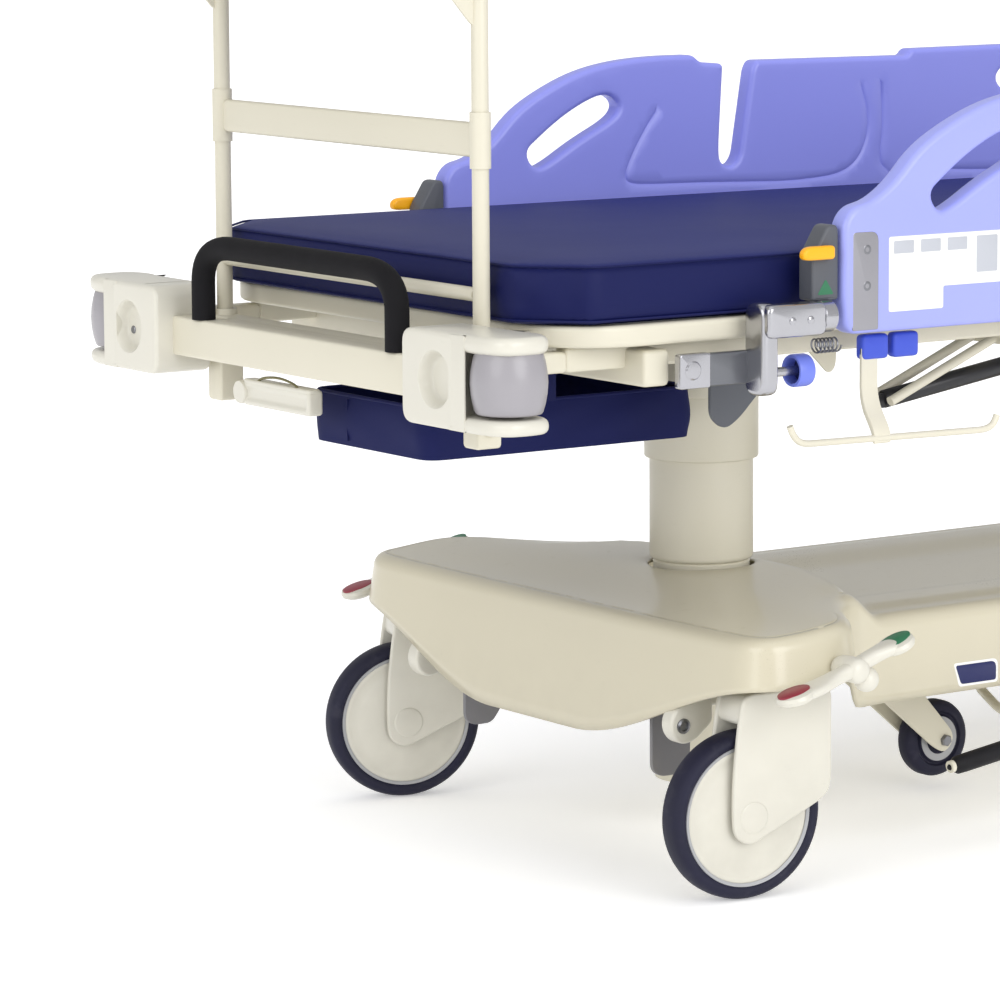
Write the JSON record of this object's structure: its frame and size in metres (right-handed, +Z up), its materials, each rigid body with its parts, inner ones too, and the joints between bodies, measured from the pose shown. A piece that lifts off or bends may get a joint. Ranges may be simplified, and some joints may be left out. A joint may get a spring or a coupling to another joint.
{
  "type": "stretcher trolley",
  "caption": "Wheeled ward stretcher with a moulded base, lifting columns, tilting deck, raising backrest, padded mattress and fold-down side rails.",
  "frame": {"origin": "on the floor under the middle of the deck", "axes": "+X towards the head end, -Y towards the near side, +Z up"},
  "size_m": [2.09, 0.968, 1.118],
  "materials": {
    "beige_cover": "glossy moulded shell",
    "cream_paint": "satin powder coat",
    "cream_plastic": "smooth moulded plastic",
    "tyre_rubber": "dull rubber",
    "grey_rubber": "satin rubber",
    "rail_plastic": "satin blow-moulded plastic",
    "navy_cover": "coated fabric with a soft sheen",
    "black_foam": "matt foam grip",
    "black_paint": "satin",
    "polished_steel": "polished",
    "pan_sheet": "satin sheet",
    "yellow_plastic": "moulded plastic",
    "blue_plastic": "moulded plastic"
  },
  "bodies": {
    "base": {"base_cover": "beige_cover", "chassis_frame": "cream_paint", "column_foot_cylinder": "cream_paint", "column_head_cylinder": "cream_paint"},
    "brake_foot": {"brake_pedals_foot": "cream_paint"},
    "brake_head": {"brake_pedals_head": "cream_paint"},
    "fifth_arm": {"fifth_wheel_arm": "cream_paint"},
    "fifth_wheel": {"fifth_wheel": "tyre_rubber"},
    "pump": {"pump_bars": "black_foam"},
    "release": {"release_pedals": "black_foam"},
    "lift_stage": {"column_foot_stage": "cream_paint", "column_head_stage": "cream_paint"},
    "ram_foot": {"column_foot_ram": "cream_paint"},
    "ram_head": {"column_head_ram": "cream_paint"},
    "deck": {"deck_frame": "cream_paint", "under_frame": "cream_paint", "deck_pan": "pan_sheet", "mattress_seat": "navy_cover", "foot_bar": "cream_paint", "head_bar": "cream_paint", "equipment_tray": "navy_cover", "rail_hinge_near": "polished_steel", "rail_hinge_far": "polished_steel", "drainage_rack_near": "cream_paint", "drainage_rack_far": "cream_paint", "push_handle_foot": "black_foam", "push_handle_head": "black_foam", "bumper_housing_foot_near": "cream_plastic", "bumper_housing_foot_far": "cream_plastic", "bumper_housing_head_near": "cream_plastic", "bumper_housing_head_far": "cream_plastic"},
    "backrest": {"backrest_pan": "pan_sheet", "mattress_back": "navy_cover"},
    "gas_cylinder": {"gas_cylinder": "black_paint"},
    "gas_rod": {"gas_rod": "polished_steel"},
    "rail_near": {"side_rail_near": "rail_plastic"},
    "rail_far": {"side_rail_far": "rail_plastic"},
    "latch_near": {"latch_lever_near": "yellow_plastic"},
    "latch_far": {"latch_lever_far": "yellow_plastic"},
    "knob_near": {"release_knob_near": "blue_plastic"},
    "knob_far": {"release_knob_far": "blue_plastic"},
    "foot_frame": {"foot_frame": "cream_paint", "equipment_shelf": "cream_plastic"},
    "tilt_handle": {"tilt_handle": "cream_paint"},
    "castor_foot_near": {"castor_fork_foot_near": "cream_plastic"},
    "wheel_foot_near": {"castor_tyre_foot_near": "tyre_rubber", "castor_wheel_foot_near": "cream_plastic"},
    "roller_foot_near": {"bumper_roller_foot_near": "grey_rubber"},
    "castor_foot_far": {"castor_fork_foot_far": "cream_plastic"},
    "wheel_foot_far": {"castor_tyre_foot_far": "tyre_rubber", "castor_wheel_foot_far": "cream_plastic"},
    "roller_foot_far": {"bumper_roller_foot_far": "grey_rubber"},
    "castor_head_near": {"castor_fork_head_near": "cream_plastic"},
    "wheel_head_near": {"castor_tyre_head_near": "tyre_rubber", "castor_wheel_head_near": "cream_plastic"},
    "roller_head_near": {"bumper_roller_head_near": "grey_rubber"},
    "castor_head_far": {"castor_fork_head_far": "cream_plastic"},
    "wheel_head_far": {"castor_tyre_head_far": "tyre_rubber", "castor_wheel_head_far": "cream_plastic"},
    "roller_head_far": {"bumper_roller_head_far": "grey_rubber"}
  },
  "joints": [
    {"name": "castor_foot_near_swivel", "type": "hinge", "parent": "base", "child": "castor_foot_near", "pos_m": [-0.59, -0.359, 0.25], "axis": [0, 0, 1], "continuous": true},
    {"name": "wheel_foot_near_spin", "type": "hinge", "parent": "castor_foot_near", "child": "wheel_foot_near", "pos_m": [-0.63479, -0.35469, 0.1], "axis": [0.0958, 0.9954, 0], "continuous": true},
    {"name": "roller_foot_near_spin", "type": "hinge", "parent": "deck", "child": "roller_foot_near", "pos_m": [-1, -0.42, 0.632], "axis": [0, 0, 1], "continuous": true},
    {"name": "castor_foot_far_swivel", "type": "hinge", "parent": "base", "child": "castor_foot_far", "pos_m": [-0.59, 0.359, 0.25], "axis": [0, 0, 1], "continuous": true},
    {"name": "wheel_foot_far_spin", "type": "hinge", "parent": "castor_foot_far", "child": "wheel_foot_far", "pos_m": [-0.63292, 0.37253, 0.1], "axis": [0.3007, 0.9537, 0], "continuous": true},
    {"name": "roller_foot_far_spin", "type": "hinge", "parent": "deck", "child": "roller_foot_far", "pos_m": [-1, 0.42, 0.632], "axis": [0, 0, 1], "continuous": true},
    {"name": "castor_head_near_swivel", "type": "hinge", "parent": "base", "child": "castor_head_near", "pos_m": [0.59, -0.359, 0.25], "axis": [0, 0, 1], "continuous": true},
    {"name": "wheel_head_near_spin", "type": "hinge", "parent": "castor_head_near", "child": "wheel_head_near", "pos_m": [0.54534, -0.36448, 0.1], "axis": [-0.1219, 0.9925, 0], "continuous": true},
    {"name": "roller_head_near_spin", "type": "hinge", "parent": "deck", "child": "roller_head_near", "pos_m": [1, -0.42, 0.632], "axis": [0, 0, 1], "continuous": true},
    {"name": "castor_head_far_swivel", "type": "hinge", "parent": "base", "child": "castor_head_far", "pos_m": [0.59, 0.359, 0.25], "axis": [0, 0, 1], "continuous": true},
    {"name": "wheel_head_far_spin", "type": "hinge", "parent": "castor_head_far", "child": "wheel_head_far", "pos_m": [0.54598, 0.34964, 0.1], "axis": [-0.2079, 0.9781, 0], "continuous": true},
    {"name": "roller_head_far_spin", "type": "hinge", "parent": "deck", "child": "roller_head_far", "pos_m": [1, 0.42, 0.632], "axis": [0, 0, 1], "continuous": true},
    {"name": "brake", "type": "hinge", "parent": "base", "child": "brake_foot", "pos_m": [-0.552, 0, 0.276], "axis": [0, 1, 0], "range_deg": [0, 31]},
    {"name": "brake_head_link", "type": "hinge", "parent": "base", "child": "brake_head", "pos_m": [0.552, 0, 0.276], "axis": [0, 1, 0], "range_deg": [-31, 0]},
    {"name": "fifth_arm_drop", "type": "hinge", "parent": "base", "child": "fifth_arm", "pos_m": [-0.205, 0, 0.19], "axis": [0, 1, 0], "range_deg": [0, 5.6]},
    {"name": "fifth_wheel_spin", "type": "hinge", "parent": "fifth_arm", "child": "fifth_wheel", "pos_m": [-0.058, 0, 0.066], "axis": [0, 1, 0], "continuous": true},
    {"name": "pump_stroke", "type": "hinge", "parent": "base", "child": "pump", "pos_m": [0, 0, 0.15], "axis": [0, 1, 0], "range_deg": [-8, 8], "stiffness_Nm_per_rad": 60},
    {"name": "release_stroke", "type": "hinge", "parent": "base", "child": "release", "pos_m": [0.15, 0, 0.225], "axis": [0, 1, 0], "range_deg": [0, 14], "stiffness_Nm_per_rad": 20, "springref_deg": -8.59},
    {"name": "lift", "type": "slide", "parent": "base", "child": "lift_stage", "axis": [0, 0, 1], "range_m": [-0.06, 0.22]},
    {"name": "ram_foot_slide", "type": "slide", "parent": "lift_stage", "child": "ram_foot", "axis": [0, 0, 1], "range_m": [-0.0755, 0.0905]},
    {"name": "ram_head_slide", "type": "slide", "parent": "lift_stage", "child": "ram_head", "axis": [0, 0, 1], "range_m": [-0.0905, 0.0755]},
    {"name": "tilt", "type": "hinge", "parent": "lift_stage", "child": "deck", "pos_m": [0, 0, 0.63], "axis": [0, 1, 0], "range_deg": [-10, 12]},
    {"name": "backrest_raise", "type": "hinge", "parent": "deck", "child": "backrest", "pos_m": [0.12, 0, 0.672], "axis": [0, -1, 0], "range_deg": [0, 70]},
    {"name": "gas_swing", "type": "hinge", "parent": "deck", "child": "gas_cylinder", "pos_m": [-0.347, -0.25, 0.553], "axis": [0, -1, 0], "range_deg": [0, 6]},
    {"name": "gas_extend", "type": "slide", "parent": "gas_cylinder", "child": "gas_rod", "axis": [0.9891, 0, 0.1473], "range_m": [0, 0.035]},
    {"name": "rail_near_fold", "type": "hinge", "parent": "deck", "child": "rail_near", "pos_m": [0, -0.43, 0.683], "axis": [1, 0, 0], "range_deg": [0, 180]},
    {"name": "rail_far_fold", "type": "hinge", "parent": "deck", "child": "rail_far", "pos_m": [0, 0.43, 0.683], "axis": [-1, 0, 0], "range_deg": [0, 180]},
    {"name": "latch_near_lift", "type": "hinge", "parent": "deck", "child": "latch_near", "pos_m": [-0.567, -0.43, 0.757], "axis": [0, 1, 0], "range_deg": [0, 15], "stiffness_Nm_per_rad": 0.4, "springref_deg": -17.19},
    {"name": "latch_far_lift", "type": "hinge", "parent": "deck", "child": "latch_far", "pos_m": [-0.567, 0.43, 0.757], "axis": [0, 1, 0], "range_deg": [0, 15], "stiffness_Nm_per_rad": 0.4, "springref_deg": -17.19},
    {"name": "knob_near_pull", "type": "slide", "parent": "deck", "child": "knob_near", "axis": [1, 0, 0], "range_m": [0, 0.012], "stiffness_N_per_m": 800, "springref_m": -0.004},
    {"name": "knob_far_pull", "type": "slide", "parent": "deck", "child": "knob_far", "axis": [1, 0, 0], "range_m": [0, 0.012], "stiffness_N_per_m": 800, "springref_m": -0.004},
    {"name": "foot_frame_lift_out", "type": "slide", "parent": "deck", "child": "foot_frame", "axis": [0, 0, 1], "range_m": [0, 0.14]},
    {"name": "tilt_handle_squeeze", "type": "hinge", "parent": "deck", "child": "tilt_handle", "pos_m": [-0.991, 0.15, 0.572], "axis": [-1, 0, 0], "range_deg": [0, 5], "stiffness_Nm_per_rad": 12, "springref_deg": -8.59}
  ],
  "couplings": [
    {"joint": "brake_head_link", "follows": "brake", "ratio": -1},
    {"joint": "fifth_arm_drop", "follows": "brake", "ratio": 0.18},
    {"joint": "ram_foot_slide", "follows": "tilt", "m_per_rad": 0.43},
    {"joint": "ram_head_slide", "follows": "tilt", "m_per_rad": -0.43},
    {"joint": "gas_swing", "follows": "backrest_raise", "ratio": 0.082286},
    {"joint": "gas_extend", "follows": "backrest_raise", "m_per_rad": 0.027502}
  ]
}
